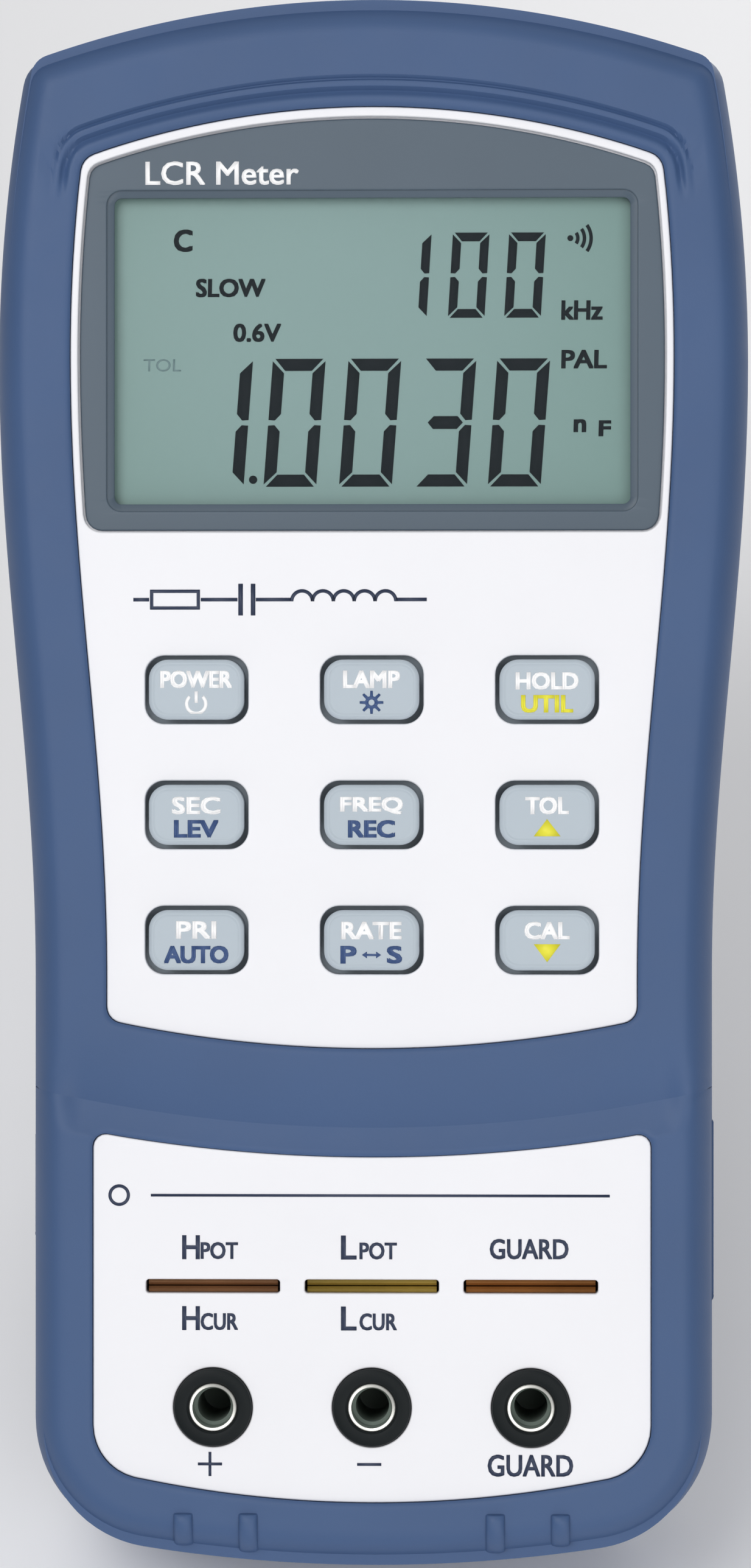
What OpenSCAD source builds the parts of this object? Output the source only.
// Handheld component meter leaning on its open tilt stand.
// Every piece is drawn flat first: X across, Y from the bottom end to the top end,
// Z from the back to the face. placed() then leans the whole meter back on its stand.

/* [Body] */
// Length of the housing
body_l = 191.4; // [150:0.2:235]
// Width across the display end
head_w = 91.4; // [76:0.2:112]
// Width across the grip end
grip_w = 82.6; // [72:0.2:100]
// Depth from the back to the blue face
body_h = 41; // [37:0.5:52]
// Height of the joint line between the two halves
split_z = 20; // [18:0.5:22]
// Thickness of the soft blue skin
skin_t = 1.8; // [1.2:0.1:2.4]
// Wall of the hard shells under the skin
wall = 2; // [1.4:0.1:2.6]
// Width of the rounded shoulder, seen from the front
shoulder_w = 4.2; // [2.5:0.1:4.4]
// Depth of the rounded shoulder, seen from the side
shoulder_h = 7; // [4:0.5:9]

/* [Face] */
// Width of the blue border beside the white panels
bezel_w = 9.5; // [8.5:0.1:11]
// How far the white panels sit below the blue face
panel_drop = 0.6; // [0.2:0.1:1.2]
// Lowest point of the upper panel's bottom edge
upper_y = 63.8; // [60:0.2:66]
// Blue border above the upper panel
top_border = 14.75; // [12:0.25:18]
// Middle of the lower panel's top edge
lower_top = 50.8; // [48:0.2:53]
// Middle of the lower panel's bottom edge
lower_y = 9.4; // [8:0.2:11]
// White rim left around the grey display mask
mask_rim = 1.1; // [0.6:0.1:2]
// Bottom edge of the grey display mask, below the top end of the body
mask_down = 65.5; // [63.4:0.1:69.4]
// How far the mask sits below the white panel
mask_drop = 1; // [0.4:0.1:1.2]
// Width of the display opening in the mask
view_w = 62; // [50:0.5:64]
// Height of the display opening in the mask
view_h = 36.8; // [30:0.2:39]
// Middle of the display opening, below the top end of the body
view_down = 43.9; // [42.4:0.1:46.4]

/* [Keys] */
// Distance between key columns
key_dx = 21; // [18:0.1:21.5]
// Distance between key rows
key_dy = 15; // [12.5:0.1:15.5]
// Middle of the top key row
key_y = 106.8; // [105:0.1:108]
// Width of a key top
key_w = 11.4; // [9:0.1:13]
// Height of a key top
key_h = 7.2; // [6:0.1:8.4]
// Gap around each key
key_gap = 0.5; // [0.3:0.05:0.7]
// How far a key stands above the white panel
key_proud = 1; // [0.4:0.1:1.6]
// How far a key travels
key_travel = 1.2; // [0.6:0.1:1.4]

/* [Terminals] */
// Distance between neighbouring jacks
jack_pitch = 19.05; // [17:0.05:21]
// Middle of the jack row
jack_y = 20.8; // [19.5:0.1:22]
// Diameter of the plug the jacks take
plug_d = 4; // [3.5:0.1:4.4]
// Outside diameter of a jack's black shroud
shroud_d = 9.4; // [8.6:0.1:11]
// Length of a test slot
slot_l = 16.1; // [12:0.1:17]
// Width of a test slot
slot_w = 1.65; // [1.4:0.05:2.4]
// Middle of the test slots
slot_y = 35.3; // [33:0.1:37]

/* [Stand] */
// Lean of the back from the table, in degrees
lean = 50; // [46:1:54]
// Middle of the stand's hinge, from the bottom end
hinge_y = 98; // [95:0.5:100]
// Length of the stand, from its pin to its foot
stand_l = 80; // [78:0.5:81]
// Width of the stand
stand_w = 40; // [36:0.5:42]
// Thickness of the stand
stand_t = 3.2; // [2.4:0.1:3.4]
// Diameter of the hinge pin
pin_d = 2.4; // [2:0.1:2.6]
// Radial running clearance of the hinge
pin_run = 0.05; // [0.02:0.01:0.09]

/* [Battery] */
// Length of the battery without its terminals
cell_l = 46.4; // [44:0.1:48]
// Width of the battery
cell_w = 26.5; // [25:0.1:28]
// Thickness of the battery
cell_t = 17.5; // [16:0.1:17.6]

/* [Ports] */
// Bottom edge of the left port flap
left_flap_y = 40.1; // [38:0.1:44]
// Length of the left port flap
left_flap_l = 13.1; // [12:0.1:15]
// Bottom edge of the right port flap
right_flap_y = 32.7; // [30:0.1:38]
// Length of the right port flap
right_flap_l = 22.1; // [18:0.1:24]
// Height of both flaps, front to back
flap_h = 10; // [8:0.5:11]
// Thickness of a port flap
flap_t = 1.6; // [1:0.1:1.7]

/* [Hidden] */

// Colours
blue = [0.30, 0.41, 0.58];
white = [0.93, 0.94, 0.95];
grey = [0.42, 0.47, 0.51];
key_grey = [0.74, 0.78, 0.81];
dark = [0.16, 0.17, 0.19];
shell_grey = [0.30, 0.33, 0.37];
steel = [0.75, 0.76, 0.77];
gold = [0.80, 0.62, 0.30];

// Clearances
bond_gap = 0.05;    // between pieces that seat on each other
seat_gap = 0.2;     // around pieces dropped into an opening
move_gap = 0.35;    // around pieces that swing
thread_gap = 0.05;  // between a screw and its hole

// Outline of the housing: tangent arcs, with a smooth waist below the head
head_r = head_w / 2;
grip_r = grip_w / 2;
head_y = body_l - 44.4;      // widest point
grip_top = head_y - 75;      // where the waist ends and the straight grip starts
end_r = 180;                 // sweep of the bottom end
end_corner = 16;
side_r = 200;                // sweep of the sides above the head
crown_r = 122;               // sweep of the top end
crown_corner = 4.5;

function arc(c, r, a0, a1, n) =
    [for (i = [0:n]) let (a = a0 + (a1 - a0) * i / n) c + r * [cos(a), sin(a)]];
function unit(v) = v / norm(v);
function after_first(pts) = [for (i = [1:len(pts) - 1]) pts[i]];
function bearing(from, to) = atan2(to[1] - from[1], to[0] - from[0]);

// centre of a circle of radius r that touches two arcs from inside
function nested_centre(c1, r1, c2, r2, r) =
    let (
        gap = norm(c2 - c1),
        along = (pow(r1 - r, 2) - pow(r2 - r, 2) + pow(gap, 2)) / (2 * gap),
        across = sqrt(pow(r1 - r, 2) - pow(along, 2)),
        u = (c2 - c1) / gap
    )
    c1 + along * u + across * [-u[1], u[0]];

end_c = [0, end_r];
side_c = [head_r - side_r, head_y];
crown_c = [0, body_l - crown_r];
waist_steps = 9;
function waist(t) = grip_r + (head_r - grip_r) * (1 - cos(180 * t)) / 2;
function half_width(y) =
    y < grip_top ? grip_r
    : y < head_y ? waist((y - grip_top) / (head_y - grip_top))
    : side_c[0] + sqrt(pow(side_r, 2) - pow(y - head_y, 2));

// Right half of the outline moved in by inset, from the bottom end to the top end
function half_ring(inset) =
    let (
        foot_corner = max(end_corner - inset, 1),
        foot_x = grip_r - inset - foot_corner,
        foot_c = [foot_x, end_r - sqrt(pow(end_r - inset - foot_corner, 2) - pow(foot_x, 2))],
        top_corner = max(crown_corner - inset, 0.4),
        top_c = nested_centre(side_c, side_r - inset, crown_c, crown_r - inset, top_corner),
        side_a = bearing(side_c, top_c),
        crown_a = bearing(crown_c, top_c),
        foot_a = bearing(end_c, foot_c)
    )
    concat(
        arc(end_c, end_r - inset, -90, foot_a, 4),
        after_first(arc(foot_c, foot_corner, foot_a, 0, 6)),
        [for (i = [0:waist_steps])
            let (t = i / waist_steps) [waist(t) - inset, grip_top + t * (head_y - grip_top)]],
        after_first(arc(side_c, side_r - inset, 0, side_a, 3)),
        after_first(arc(top_c, top_corner, side_a, crown_a, 5)),
        after_first(arc(crown_c, crown_r - inset, crown_a, 90, 4))
    );
function ring(inset) =
    let (half = half_ring(inset), n = len(half))
    concat(half, [for (i = [n - 2:-1:1]) [-half[i][0], half[i][1]]]);
count = len(ring(0));

// Rings of the two soft skins, as [height, inset]
shoulder_steps = 5;
parting_bevel = 0.3;
front_rings = concat(
    [[split_z, parting_bevel], [split_z + parting_bevel * 1.5, 0]],
    [for (i = [0:shoulder_steps]) let (t = 90 * i / shoulder_steps)
        [body_h - shoulder_h * (1 - sin(t)), shoulder_w * (1 - cos(t))]]
);
rear_rings = concat(
    [for (i = [shoulder_steps:-1:0]) let (t = 90 * i / shoulder_steps)
        [shoulder_h * (1 - sin(t)), shoulder_w * (1 - cos(t))]],
    [[split_z - parting_bevel * 1.5, 0], [split_z, parting_bevel]]
);

module loft(rings) {
    layers = len(rings);
    sides = [for (k = [0:layers - 1]) for (p = ring(rings[k][1])) [p[0], p[1], rings[k][0]]];
    caps = [[0, body_l / 2, rings[0][0]], [0, body_l / 2, rings[layers - 1][0]]];
    low = layers * count;
    walls = [for (k = [0:layers - 2]) for (i = [0:count - 1])
        let (a = k * count + i, b = k * count + (i + 1) % count)
        each [[a, a + count, b + count], [a, b + count, b]]];
    ends = [for (i = [0:count - 1])
        let (j = (i + 1) % count, top = (layers - 1) * count)
        each [[low, i, j], [low + 1, top + j, top + i]]];
    polyhedron(points = concat(sides, caps), faces = concat(walls, ends));
}

// A polygon of [x, y, r] corners, each rounded by its own radius r
corner_steps = 6;
function turn(a, p, b, r) =
    let (
        u = unit(a - p), v = unit(b - p),
        half = acos(max(-1, min(1, u * v))) / 2,
        c = p + unit(u + v) * r / sin(half),
        s = p + u * r / tan(half) - c,
        e = p + v * r / tan(half) - c,
        a0 = atan2(s[1], s[0]),
        swing = atan2(e[1], e[0]) - a0,
        sweep = swing > 180 ? swing - 360 : swing < -180 ? swing + 360 : swing
    )
    [for (i = [0:corner_steps]) let (a = a0 + sweep * i / corner_steps) c + r * [cos(a), sin(a)]];
function xy(p) = [p[0], p[1]];
function rounded(pts) =
    let (n = len(pts))
    [for (i = [0:n - 1])
        each pts[i][2] > 0
            ? turn(xy(pts[(i + n - 1) % n]), xy(pts[i]), xy(pts[(i + 1) % n]), pts[i][2])
            : [xy(pts[i])]];
function box_corners(w, h, r) =
    [for (q = [[1, -1], [1, 1], [-1, 1], [-1, -1]]) [q[0] * w / 2, q[1] * h / 2, r]];
function mirrored(half) =
    let (n = len(half)) concat(half, [for (i = [n - 1:-1:0]) [-half[i][0], half[i][1], half[i][2]]]);

module slab(pts, z0, z1) { translate([0, 0, z0]) linear_extrude(z1 - z0) polygon(pts); }
module round_box(w, h, r, z0, z1) { slab(rounded(box_corners(w, h, r)), z0, z1); }

// upright cylinder at p, and a lying one along X from x0 to x1
module peg(p, r, z0, z1) { translate([p[0], p[1], z0]) cylinder(r = r, h = z1 - z0, $fn = 48); }
module rod(x0, x1, y, z, r) {
    translate([x0, y, z]) rotate([0, 90, 0]) cylinder(r = r, h = x1 - x0, $fn = 64);
}

// Levels of the face, from the top down
panel_z = body_h - panel_drop;      // white panels
shell_z = body_h - skin_t - 0.2;    // hard shell under the skin
roof_z = shell_z - wall;            // inside of the front shell
mask_z = panel_z - mask_drop;       // face of the grey mask
mask_t = 1.4;
mask_lap = 1.4;                     // width of the ledge under the mask
ledge_z = mask_z - mask_t;          // ledge the mask sits on
board_t = 1.6;
board_z = roof_z - 7;               // top of the main board
under = board_z - board_t;          // underside of the board

// The display keeps its place under the top end
mask_y = body_l - mask_down;
view_y = body_l - view_down;

// White panels. grow widens the shape all round, for openings and clearances.
panel_top = body_l - top_border;
panel_crown = 102.6;
panel_chin = 151;
lower_brow = 187;
lower_chin = 138;
lower_half = 33.45;
function crown_y(x, top, r) = top - r + sqrt(r * r - x * x);
function chin_y(x, low, r) = low + r - sqrt(r * r - x * x);
panel_stations = 6;
function panel_half(y, border) = half_width(y) - border;
function upper_panel(grow, border, y0, chin, corner_low, corner_top) =
    let (
        b = border - grow,
        top = panel_top - (border - bezel_w) * 1.2 + grow,
        crown = panel_crown - (border - bezel_w) * 1.2 + grow,
        low = y0 - grow,
        low_x = panel_half(low + 3, b),
        low_y = chin > 0 ? chin_y(low_x, low, chin) : low,
        top_x = panel_half(top - 6, b),
        top_y = crown_y(top_x, top, crown),
        rise = top_y - low_y
    )
    rounded(mirrored(concat(
        chin > 0 ? [for (x = [0.15, 0.4, 0.68]) [low_x * x, chin_y(low_x * x, low, chin), 0]] : [],
        [[low_x, low_y, corner_low]],
        [for (i = [1:panel_stations])
            let (y = low_y + rise * i / (panel_stations + 1)) [panel_half(y, b), y, 0]],
        [[top_x, top_y, corner_top]],
        [for (x = [0.72, 0.45, 0.15]) [top_x * x, crown_y(top_x * x, top, crown), 0]]
    )));
function white_upper(grow) = upper_panel(grow, bezel_w, upper_y, panel_chin, 2, 2.4);
function mask_shape(grow) = upper_panel(grow, bezel_w + mask_rim, mask_y, 0, 2, 1.8);
function white_lower(grow) =
    let (w = lower_half + grow)
    rounded(mirrored(concat(
        [for (x = [0.2, 0.5]) [w * x, chin_y(w * x, lower_y - grow, lower_chin), 0]],
        [[w, chin_y(w, lower_y - grow, lower_chin), 6.5]],
        [[w, chin_y(w, lower_top + grow, lower_brow), 1.5]],
        [for (x = [0.62, 0.3]) [w * x, chin_y(w * x, lower_top + grow, lower_brow), 0]]
    )));

// Screws that join the halves, and those that hold the board
bolt_low = [grip_r - 8.5, 22];
bolt_high = [head_r - 14.7, body_l - 13.4];
case_bolts = [for (q = [bolt_low, bolt_high], s = [-1, 1]) [s * q[0], q[1]]];
board_bolts = [[-28, 62], [28, 62], [-28, 118], [28, 118]];
bolt_room = 13;          // depth of the screws' holes in the front half
screw_r = 1.45;
head_r_screw = 2.8;
head_run = 0.4;          // around a screw head
case_seat = 8;           // depth of the screw heads from the back
post_r = 4.6;
boss_r = 3.5;
board_screw_r = 1.1;
board_boss_r = 2.6;
board_hole = 6.5;

// Keys
key_names = [["key_power", -1, 0], ["key_light", 0, 0], ["key_hold", 1, 0],
    ["key_secondary", -1, 1], ["key_frequency", 0, 1], ["key_tolerance", 1, 1],
    ["key_primary", -1, 2], ["key_rate", 0, 2], ["key_calibrate", 1, 2]];
key_corner = 2.3;
flange_lap = 1.1;        // how far a key's flange reaches past its top
flange_t = 1.6;
key_seat = 0.2;          // gap over the flange at rest
flange_top = roof_z - key_seat;
key_foot = flange_top - flange_t - 0.6;
key_foot_r = 2.2;
mat_t = 1;
pill_r = 2;              // carbon contact under a key
pill_t = 0.5;
function key_at(k) = [key_names[k][1] * key_dx, key_y - key_names[k][2] * key_dy, 0];

// Jacks and slots, from left to right
jack_flange_r = shroud_d / 2 + 1.3;
jack_tube_r = 2.9;
jack_lead_in_r = 2.56;
jack_lead_in = 3;
jack_floor = roof_z - 15;    // end of a socket behind the board
shroud_top = panel_z + 0.5;
jack_play = 0.03;        // around a socket in its shroud and nut
jack_flange_t = 3;
jack_nut_t = 2.6;
slot_pitch = jack_pitch;
blade_t = 0.35;
slot_wall = 1.6;

// Stand: closed it lies in a recess in the back, pointing at the bottom end
barrel_r = 2.3;
hinge_z = barrel_r + 0.9;
foot_r = stand_t / 2;
recess_z = hinge_z + stand_t / 2 + 0.5;
recess_w = stand_w + 1.2;
recess_low = hinge_y - stand_l - foot_r - 0.8;
recess_high = hinge_y + barrel_r + 0.9;
tub_wall = 1.6;
tub_floor = 2;
pin_bite = 4.4;          // how far the pin goes into the shell on each side
relief_rim = 4;
relief_low = 12;
relief_t = 0.9;
scoop_r = 14;            // finger scoop at the stand's free end
scoop_depth = 2.6;
scoop_l = 12;
rest_low = min([for (r = rear_rings) r[1] * sin(lean) + r[0] * cos(lean)]);
reach_front = min([for (r = front_rings) r[1] * cos(lean) - r[0] * sin(lean)]);
reach_back = max([for (r = rear_rings) (body_l - r[1]) * cos(lean) - r[0] * sin(lean)]);
hinge_up = hinge_y * sin(lean) + hinge_z * cos(lean) - rest_low;
stand_open = 180 - lean - asin((hinge_up - foot_r) / stand_l);

// Battery compartment, under the stand
cell_play = 0.7;
snap_room = 8;
cell_low = 29;
bay_w = cell_w + 2 * cell_play;
bay_low = cell_low - cell_play;
bay_high = cell_low + cell_l + snap_room;
cover_t = 2;
cover_lap = 1.8;
cover_low = bay_low - 6.6;
cover_high = bay_high + cover_lap;
cover_w = bay_w + 2 * cover_lap;
cover_z = recess_z;
bay_floor = cover_z + cover_t;
bay_roof = bay_floor + 0.5 + cell_t + 0.5;
bay_wall = 1.4;
cover_screw_y = bay_low - 3.2;
cover_screw_r = 1;
cover_head_r = 2.2;
cover_head_t = 1.05;

// Ports, both in the front half's side walls, level with the sockets under the board
port_z = under - 2.4;
flap_x = grip_r - 0.1 - flap_t / 2;
flap_run = 0.45;         // around a flap's round end, so that it can open square
window_rim = 2.2;        // seat left around a port's window

module placed() {
    translate([0, -(reach_front + reach_back) / 2, -rest_low]) rotate([lean, 0, 0]) children();
}

// ---- housing ----

module port_window(side, y0, l) {
    // opening through the hard wall behind a flap
    translate([side > 0 ? grip_r - 8 : -grip_r - 2, y0 + window_rim, port_z - flap_h / 2 + window_rim])
        cube([10, l - 2 * window_rim, flap_h - 2 * window_rim]);
}

module flap_pocket(side, y0, l) {
    // seat of a flap in the soft skin, round at its hinge end
    x0 = grip_r - skin_t - bond_gap;
    translate([side > 0 ? x0 : -x0 - 10, y0 + flap_t / 2, port_z - flap_h / 2 - seat_gap])
        cube([10, l - flap_t / 2 + seat_gap, flap_h + 2 * seat_gap]);
    translate([side * flap_x, y0 + flap_t / 2, port_z - flap_h / 2 - seat_gap])
        cylinder(r = flap_t / 2 + flap_run, h = flap_h + 2 * seat_gap, $fn = 32);
}

module front_case() {
    color(white) difference() {
        union() {
            difference() {
                slab(ring(skin_t + bond_gap), split_z, shell_z);
                slab(ring(skin_t + bond_gap + wall), split_z - 1, roof_z);
            }
            slab(white_upper(0), shell_z - 0.1, panel_z);
            slab(white_lower(0), shell_z - 0.1, panel_z);
            for (p = case_bolts) peg(p, boss_r, split_z + 0.1, roof_z + 0.1);
            for (p = board_bolts) peg(p, board_boss_r, board_z, roof_z + 0.1);
        }
        // seat and opening for the display mask
        slab(mask_shape(seat_gap), ledge_z, panel_z + 1);
        slab(mask_shape(-mask_lap), roof_z - 1, ledge_z + 1);
        for (k = [0:8]) translate(key_at(k))
            round_box(key_w + 2 * key_gap, key_h + 2 * key_gap, key_corner, roof_z - 1, panel_z + 1);
        for (i = [-1:1]) {
            translate([i * jack_pitch, jack_y, roof_z - 1]) cylinder(d = shroud_d + 0.1, h = 8, $fn = 64);
            translate([i * slot_pitch, slot_y, 0]) round_box(slot_l, slot_w, 0.4, roof_z - 1, panel_z + 1);
        }
        for (p = case_bolts) peg(p, screw_r + thread_gap, split_z - 1, split_z + bolt_room - 1);
        for (p = board_bolts) peg(p, board_screw_r + thread_gap, board_z - 1, board_z + board_hole - 1);
        port_window(-1, left_flap_y, left_flap_l);
        port_window(1, right_flap_y, right_flap_l);
    }
}

module front_overmould() {
    color(blue) difference() {
        loft(front_rings);
        slab(ring(skin_t), split_z - 1, shell_z + bond_gap);
        slab(white_upper(bond_gap), shell_z - 1, body_h + 1);
        slab(white_lower(bond_gap), shell_z - 1, body_h + 1);
        flap_pocket(-1, left_flap_y, left_flap_l);
        flap_pocket(1, right_flap_y, right_flap_l);
    }
}

function recess_shape(grow) =
    [for (p = rounded(box_corners(recess_w + 2 * grow, recess_high - recess_low + 2 * grow, 2.5 + grow)))
        p + [0, (recess_high + recess_low) / 2]];

module bay_box(half, y0, y1, z0, z1) {
    translate([-half, y0, z0]) cube([2 * half, y1 - y0, z1 - z0]);
}

module rear_case() {
    tub_top = recess_z + tub_floor;
    color(shell_grey) difference() {
        union() {
            difference() {
                slab(ring(skin_t + bond_gap), skin_t + bond_gap, split_z - bond_gap);
                slab(ring(skin_t + bond_gap + wall), skin_t + wall, split_z + 1);
            }
            // lip that locates the front half
            difference() {
                slab(ring(skin_t + wall + 0.15), split_z - 2, split_z + 1.2);
                slab(ring(skin_t + wall + 1.05), split_z - 3, split_z + 2);
            }
            slab(recess_shape(tub_wall), skin_t + bond_gap, tub_top);
            // blocks that hold the ends of the hinge pin
            block_low = skin_t + bond_gap;
            block_x = (recess_w + pin_bite + 0.8) / 2;
            for (s = [-1, 1]) translate([s * block_x, hinge_y, (tub_top + block_low) / 2])
                cube([pin_bite + 1.6, 9, tub_top - block_low], center = true);
            bay_box(cover_w / 2 + bay_wall, cover_low - bay_wall, cover_high + bay_wall,
                recess_z, bay_floor + 1.4);
            bay_box(bay_w / 2 + bay_wall, bay_low - bay_wall, bay_high + bay_wall,
                recess_z, bay_roof + 1.2);
            peg([0, cover_screw_y], 3, bay_floor, bay_floor + 7);
            for (p = case_bolts) peg(p, post_r, skin_t + bond_gap, split_z - bond_gap);
        }
        slab(recess_shape(0), -1, recess_z);
        rod(-recess_w / 2, recess_w / 2, hinge_y, hinge_z, barrel_r + move_gap);
        rod(-recess_w / 2 - pin_bite, recess_w / 2 + pin_bite, hinge_y, hinge_z, pin_d / 2 + 0.01);
        bay_box(cover_w / 2 + seat_gap, cover_low - seat_gap, cover_high + seat_gap,
            recess_z - 1, bay_floor);
        bay_box(bay_w / 2, bay_low, bay_high, recess_z, bay_roof);
        peg([0, cover_screw_y], cover_screw_r + thread_gap, bay_floor - 1, bay_floor + 5.5);
        for (p = case_bolts) peg(p, head_r_screw + head_run, -1, case_seat);
        for (p = case_bolts) peg(p, screw_r + 0.25, 0, split_z + 1);
        // gap in the lip beside the power socket
        translate([port_face - dc_body, right_flap_y + (right_flap_l - dc_w) / 2 - seat_gap, split_z - 2.1])
            cube([dc_body + bond_gap, dc_w + 2 * seat_gap, 5]);
    }
}

module rear_overmould() {
    color(blue) difference() {
        loft(rear_rings);
        slab(ring(skin_t), skin_t, split_z + 1);
        slab(recess_shape(bond_gap), -1, skin_t + 1);
        // finger scoop at the stand's free end
        translate([0, recess_low + scoop_l / 2, scoop_depth - scoop_r]) rotate([90, 0, 0])
            cylinder(r = scoop_r, h = scoop_l, $fn = 64);
        for (p = case_bolts) peg(p, head_r_screw + head_run, -1, skin_t + 1);
    }
}

// ---- display ----

module display_mask() {
    color(grey) difference() {
        slab(mask_shape(0), ledge_z + bond_gap, mask_z);
        translate([0, view_y, 0]) round_box(view_w, view_h, 0.9, ledge_z - 1, mask_z + 1);
    }
}

window_lap = 1.3;        // how far the window reaches under the mask
glass_w = view_w + 3.4;
glass_h = view_h + 3.4;

module display_window() {
    color([0.85, 0.9, 0.9, 0.35]) translate([0, view_y, 0])
        round_box(view_w + 2 * window_lap, view_h + 2 * window_lap, 1, roof_z + 0.1, ledge_z);
}

module lcd_glass() {
    color([0.51, 0.62, 0.62]) translate([-glass_w / 2, view_y - glass_h / 2, roof_z - 2.6])
        cube([glass_w, glass_h, 2.4]);
}

module backlight_panel() {
    color([0.9, 0.93, 0.9]) translate([-glass_w / 2, view_y - glass_h / 2 + 4, roof_z - 5.4])
        cube([glass_w, glass_h - 8, 2.6]);
}

module zebra_strips() {
    color([0.85, 0.55, 0.65]) for (s = [-1, 1])
        translate([-glass_w / 2 + 2, view_y + s * (glass_h / 2 - 1.8) - 1, board_z + bond_gap])
            cube([glass_w - 4, 2, roof_z - 2.7 - board_z]);
}

module lcd_frame() {
    frame_w = glass_w + 3.6;
    frame_h = glass_h + 3.6;
    color([0.9, 0.9, 0.88]) difference() {
        translate([-frame_w / 2, view_y - frame_h / 2, board_z + bond_gap])
            cube([frame_w, frame_h, roof_z - board_z - 0.15]);
        translate([-glass_w / 2 - 0.1, view_y - glass_h / 2 - 0.1, board_z - 1])
            cube([glass_w + 0.2, glass_h + 0.2, roof_z]);
    }
}

// ---- keys ----

module key_cap(k) {
    color(key_grey) translate(key_at(k)) {
        round_box(key_w, key_h, key_corner, flange_top - 0.1, panel_z + key_proud);
        round_box(key_w + 2 * flange_lap, key_h + 2 * flange_lap, key_corner,
            flange_top - flange_t, flange_top);
        peg([0, 0], key_foot_r, key_foot, flange_top);
    }
}

dome_top = key_foot - key_travel - 0.2;

module keypad_mat() {
    mat_w = 2 * key_dx + key_w + 7;
    mat_h = 2 * key_dy + key_h + 7;
    color([0.62, 0.64, 0.66]) difference() {
        union() {
            translate([0, key_y - key_dy, 0])
                round_box(mat_w, mat_h, 2, board_z + bond_gap, board_z + mat_t);
            for (k = [0:8]) translate(key_at(k)) translate([0, 0, board_z + mat_t - 0.1])
                cylinder(r1 = 4.2, r2 = 2.8, h = dome_top - board_z - mat_t + 0.1, $fn = 48);
        }
        for (k = [0:8]) peg(key_at(k), pill_r + seat_gap, board_z - 1, board_z + mat_t + pill_t + 0.1);
    }
}

module contact_pills() {
    color(dark) for (k = [0:8])
        peg(key_at(k), pill_r, board_z + mat_t + bond_gap, board_z + mat_t + pill_t);
}

// ---- electronics ----

module main_board() {
    color([0.05, 0.35, 0.22]) difference() {
        slab(ring(skin_t + wall + 2.2), board_z - board_t, board_z);
        translate([-60, -10, board_z - 5]) cube([120, 22, 10]);
        translate([-60, body_l - 15, board_z - 5]) cube([120, 30, 10]);
        for (p = case_bolts) peg(p, post_r + 0.6, board_z - 5, board_z + 5);
        for (p = board_bolts) peg(p, board_screw_r + 0.2, board_z - 5, board_z + 5);
        for (i = [-1:1]) peg([i * jack_pitch, jack_y], jack_tube_r + 0.3, board_z - 5, board_z + 5);
    }
}

module chip(x, y, w, l, h, c) {
    color(c) translate([x - w / 2, y - l / 2, under - h]) cube([w, l, h]);
}

module processor() { chip(0, 150, 14, 14, 1.4, dark); }
module measuring_chip() { chip(-16, 130, 10, 10, 1.2, dark); }
module relays() { for (i = [0:2]) chip(-28, 84 + 12 * i, 6.5, 10, 5.2, [0.9, 0.45, 0.1]); }
module capacitors() {
    color([0.2, 0.25, 0.45]) for (p = [[28, 90], [28, 99], [18, 90], [26, 160]])
        peg(p, 3.15, under - 7, under);
}
module crystal() { chip(14, 136, 11, 4.5, 3.5, steel); }
module buzzer() { color(dark) peg([-22, 160], 6, under - 4, under); }
module shield_can() {
    color(steel) difference() {
        translate([-12, 98, under - 5]) cube([24, 24, 5]);
        translate([-11.6, 98.4, under - 4.6]) cube([23.2, 23.2, 5]);
    }
}

port_back = 8;           // depth of the port bodies
port_face = grip_r - skin_t - bond_gap - wall - 0.1;

module usb_receptacle() {
    y = left_flap_y + left_flap_l / 2;
    color(steel) difference() {
        translate([-port_face, y - 3.85, under - 3.9]) cube([port_back, 7.7, 3.9]);
        translate([-port_face - 1, y - 3.45, under - 3.5]) cube([port_back, 6.9, 3.1]);
    }
}

dc_w = 9;                // power socket: width, length, bore and its middle
dc_body = 12;
dc_bore = 2.9;
dc_depth = 9.5;
dc_z = under - dc_w / 2;

module dc_socket() {
    y = right_flap_y + right_flap_l / 2;
    color(dark) difference() {
        translate([port_face - dc_body, y - dc_w / 2, under - dc_w]) cube([dc_body, dc_w, dc_w]);
        rod(port_face - dc_depth, port_face + 1, y, dc_z, dc_bore);
    }
}

module dc_socket_pin() {
    y = right_flap_y + right_flap_l / 2;
    color(steel) rod(port_face - dc_depth, port_face - 1, y, dc_z, 1);
}

// ---- terminals ----

module jack_shroud(i) {
    flange_low = roof_z - bond_gap - jack_flange_t;
    color(dark) translate([i * jack_pitch, jack_y, 0]) difference() {
        union() {
            translate([0, 0, flange_low]) cylinder(d = shroud_d, h = shroud_top - flange_low, $fn = 64);
            translate([0, 0, flange_low]) cylinder(r = jack_flange_r, h = jack_flange_t, $fn = 64);
        }
        translate([0, 0, roof_z - 6]) cylinder(r = jack_tube_r + jack_play, h = 14, $fn = 64);
    }
}

module jack_socket(i) {
    top = shroud_top - 0.2;
    color(steel) translate([i * jack_pitch, jack_y, 0]) difference() {
        translate([0, 0, jack_floor]) cylinder(r = jack_tube_r, h = top - jack_floor, $fn = 64);
        translate([0, 0, jack_floor + 1.2]) cylinder(d = plug_d, h = 30, $fn = 64);
        translate([0, 0, top - jack_lead_in]) cylinder(r = jack_lead_in_r, h = jack_lead_in + 1, $fn = 64);
    }
}

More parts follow.
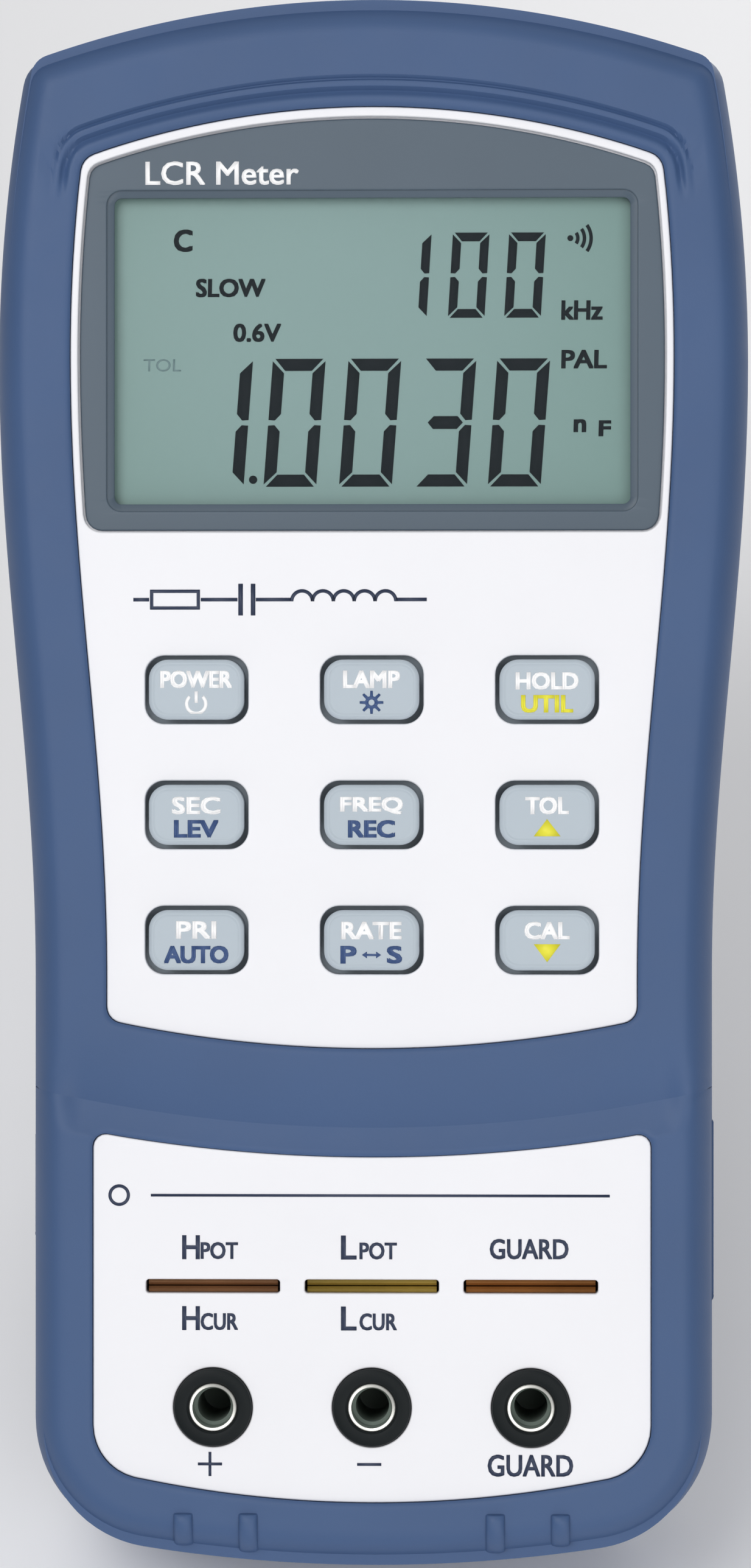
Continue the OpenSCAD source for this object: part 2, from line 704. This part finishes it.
module jack_nuts() {
    nut_low = roof_z - 2 * bond_gap - jack_flange_t - jack_nut_t;
    color(steel) for (i = [-1:1]) translate([i * jack_pitch, jack_y, nut_low]) difference() {
        cylinder(d = 10.4, h = jack_nut_t, $fn = 6);
        translate([0, 0, -1]) cylinder(r = jack_tube_r + jack_play, h = jack_nut_t + 2, $fn = 64);
    }
}

module slot_block() {
    block_w = 2 * slot_pitch + slot_l + 3;
    pocket_h = slot_w + 2 * blade_t + 0.6;
    block_h = pocket_h + 2 * slot_wall;
    color(dark) difference() {
        translate([-block_w / 2, slot_y - block_h / 2, board_z + bond_gap])
            cube([block_w, block_h, roof_z - board_z - 2 * bond_gap]);
        for (i = [-1:1]) translate([i * slot_pitch - slot_l / 2 - 0.3, slot_y - pocket_h / 2, board_z + 1])
            cube([slot_l + 0.6, pocket_h, roof_z - board_z]);
    }
}

module slot_blades() {
    blade_y = slot_w / 2 + 0.02 + blade_t / 2;
    color(gold) for (i = [-1:1], s = [-1, 1])
        translate([i * slot_pitch - slot_l / 2 + 0.3, slot_y + s * blade_y - blade_t / 2, board_z + 1.05])
            cube([slot_l - 0.6, blade_t, roof_z - board_z - 1.3]);
}

// ---- battery ----

module battery() {
    color(dark) translate([0, cell_low, bay_floor + 0.5]) {
        translate([0, cell_l / 2, 0]) round_box(cell_w, cell_l, 2, 0, cell_t);
        for (s = [-1, 1]) translate([s * 6.35, cell_l - 0.1, cell_t / 2]) rotate([-90, 0, 0])
            cylinder(r = s > 0 ? 2.8 : 3.6, h = 2.2, $fn = 48);
    }
}

module battery_snap() {
    color([0.15, 0.15, 0.15]) translate([0, cell_low + cell_l + 2.2, bay_floor + 0.5]) difference() {
        translate([-12.5, 0, 2.5]) cube([25, 3.6, cell_t - 5]);
        translate([-11, -1, 4]) cube([22, 1.4, cell_t - 8]);
    }
}

module battery_cover() {
    color(shell_grey) difference() {
        bay_box(cover_w / 2, cover_low, cover_high, cover_z, bay_floor - bond_gap);
        peg([0, cover_screw_y], cover_head_r + 0.2, cover_z - 1, cover_z + cover_head_t + bond_gap);
        peg([0, cover_screw_y], cover_screw_r + 0.2, cover_z - 1, bay_floor + 1);
    }
}

module battery_cover_screw() {
    color(steel) {
        peg([0, cover_screw_y], cover_head_r, cover_z, cover_z + cover_head_t);
        peg([0, cover_screw_y], cover_screw_r, cover_z, cover_z + 6);
    }
}

// ---- stand ----

module stand_flat() {
    barrel_l = recess_w - 0.8;
    difference() {
        union() {
            rod(-barrel_l / 2, barrel_l / 2, 0, 0, barrel_r);
            translate([-stand_w / 2, -stand_l, -stand_t / 2]) cube([stand_w, stand_l, stand_t]);
            rod(-stand_w / 2, stand_w / 2, -stand_l, 0, foot_r);
        }
        rod(-barrel_l, barrel_l, 0, 0, pin_d / 2 + pin_run);
        // relief on the side that faces away from the housing
        translate([-stand_w / 2 + relief_rim, relief_low - stand_l, -stand_t / 2 - 1])
            cube([stand_w - 2 * relief_rim, stand_l - 2 * relief_low, 1 + relief_t]);
    }
}

module tilt_stand() {
    color(shell_grey) translate([0, hinge_y, hinge_z]) rotate([stand_open, 0, 0]) stand_flat();
}

module stand_pin() {
    pin_half = recess_w / 2 + pin_bite - 0.2;
    color(steel) rod(-pin_half, pin_half, hinge_y, hinge_z, pin_d / 2);
}

// ---- fasteners ----

module case_screws() {
    color(steel) for (p = case_bolts) {
        peg(p, head_r_screw, case_seat - 2, case_seat - 0.02);
        peg(p, screw_r, case_seat - 0.1, split_z + bolt_room - 2);
    }
}

module board_screws() {
    color(steel) for (p = board_bolts) {
        peg(p, 2.1, under - 1.4, under - bond_gap);
        peg(p, board_screw_r, under - 0.1, board_z + board_hole - 1.5);
    }
}

// ---- port flaps ----

module flap(side, y0, l) {
    rim = window_rim + 0.7;
    plug_x = flap_t / 2 + 0.5;
    color(blue) translate([side * flap_x, y0 + flap_t / 2, port_z - flap_h / 2]) {
        translate([-flap_t / 2, 0, 0]) cube([flap_t, l - flap_t / 2, flap_h]);
        cylinder(d = flap_t, h = flap_h, $fn = 32);
        translate([-side * plug_x - 0.7, rim, rim])
            cube([1.4, l - flap_t / 2 - 2 * rim, flap_h - 2 * rim]);
    }
}

module usb_flap() { flap(-1, left_flap_y, left_flap_l); }
module dc_flap() { flap(1, right_flap_y, right_flap_l); }

placed() front_case();
placed() front_overmould();
placed() rear_case();
placed() rear_overmould();
placed() display_mask();
placed() display_window();
placed() lcd_glass();
placed() lcd_frame();
placed() backlight_panel();
placed() zebra_strips();
for (k = [0:8]) placed() key_cap(k);
placed() keypad_mat();
placed() contact_pills();
placed() main_board();
placed() processor();
placed() measuring_chip();
placed() relays();
placed() capacitors();
placed() crystal();
placed() buzzer();
placed() shield_can();
placed() usb_receptacle();
placed() dc_socket();
placed() dc_socket_pin();
placed() jack_shroud(-1);  // jack_shroud_plus
placed() jack_shroud(0);  // jack_shroud_minus
placed() jack_shroud(1);  // jack_shroud_guard
placed() jack_socket(-1);  // jack_socket_plus
placed() jack_socket(0);  // jack_socket_minus
placed() jack_socket(1);  // jack_socket_guard
placed() jack_nuts();
placed() slot_block();
placed() slot_blades();
placed() battery();
placed() battery_snap();
placed() battery_cover();
placed() battery_cover_screw();
placed() tilt_stand();
placed() stand_pin();
placed() case_screws();
placed() board_screws();
placed() usb_flap();
placed() dc_flap();
